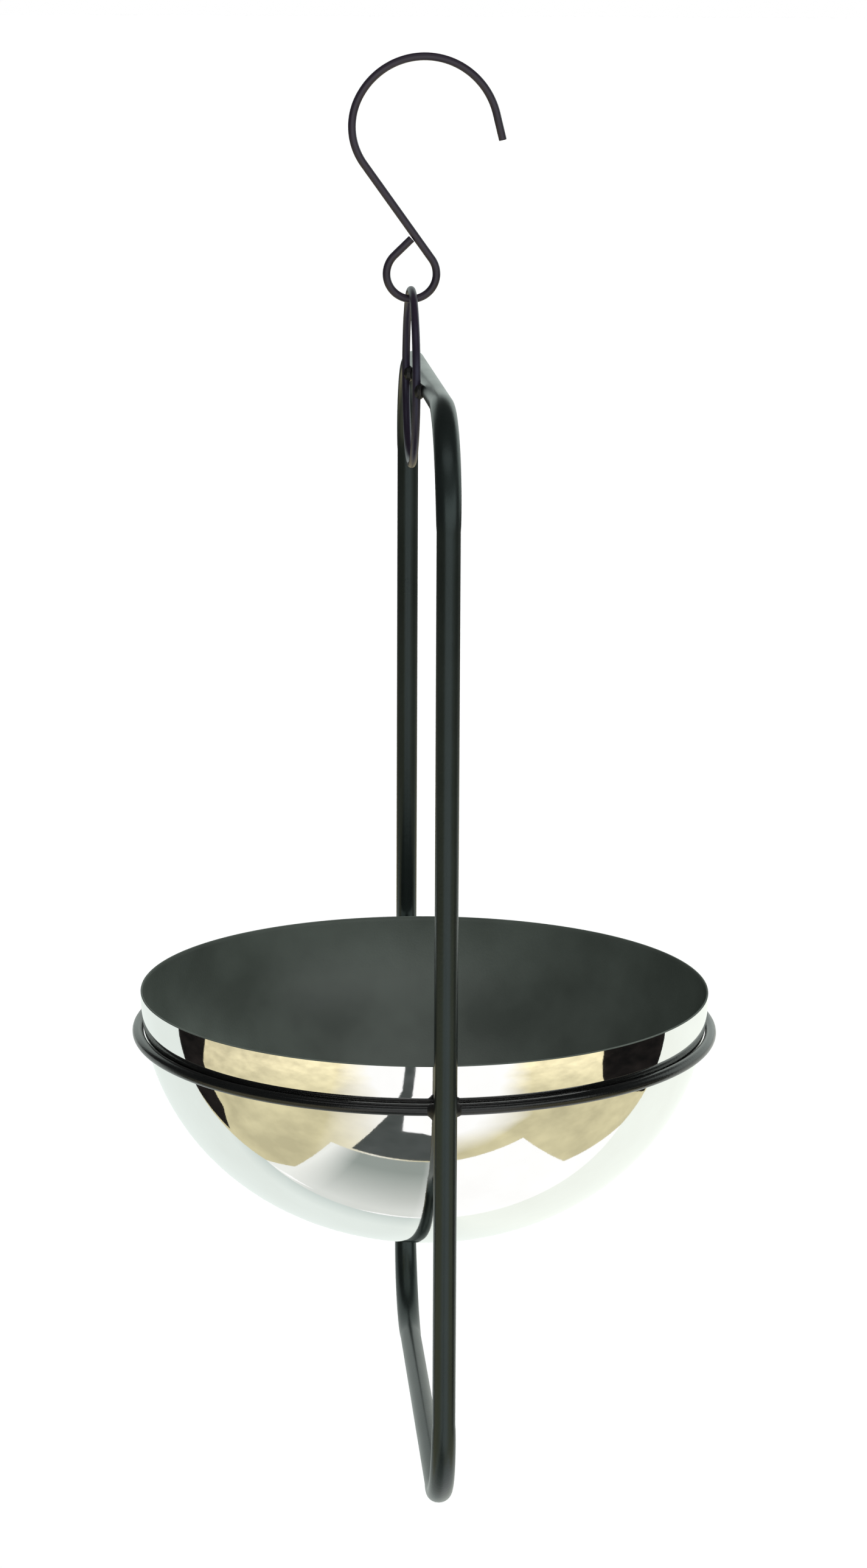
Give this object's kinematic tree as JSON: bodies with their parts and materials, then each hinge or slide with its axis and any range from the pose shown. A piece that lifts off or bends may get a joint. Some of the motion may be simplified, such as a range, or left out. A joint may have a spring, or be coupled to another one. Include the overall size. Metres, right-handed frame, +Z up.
{
  "type": "hanging plant hanger",
  "caption": "Hanging plant hanger: a wire S-hook holds a bent tube frame whose welded ring carries a lift-out polished bowl.",
  "frame": {"origin": "where the hanger hangs: the underside of the S-hook's crown", "axes": "+Z up. The S-hook lies in the plane XZ with its open mouth towards +X, and the frame lies in a plane parallel to YZ"},
  "size_m": [0.2576, 0.2774, 0.6057],
  "materials": {
    "black_coat": "satin black powder coat",
    "polished_steel": "mirror-polished outside, satin black coat inside"
  },
  "bodies": {
    "hook": {"s_hook": "black_coat"},
    "frame": {"hanging_loop": "black_coat", "loop_weld_near": "black_coat", "loop_weld_far": "black_coat", "frame_tube": "black_coat", "support_ring": "black_coat", "ring_weld_near": "black_coat", "ring_weld_far": "black_coat"},
    "bowl": {"bowl": "polished_steel"}
  },
  "joints": [
    {"name": "frame_swing", "type": "hinge", "parent": "hook", "child": "frame", "pos_m": [-0.00541, 0, -0.09936], "axis": [1, 0, 0], "range_deg": [-35, 35]},
    {"name": "bowl_lift", "type": "slide", "parent": "frame", "child": "bowl", "axis": [0, 0, 1], "range_m": [0, 0.12]}
  ]
}
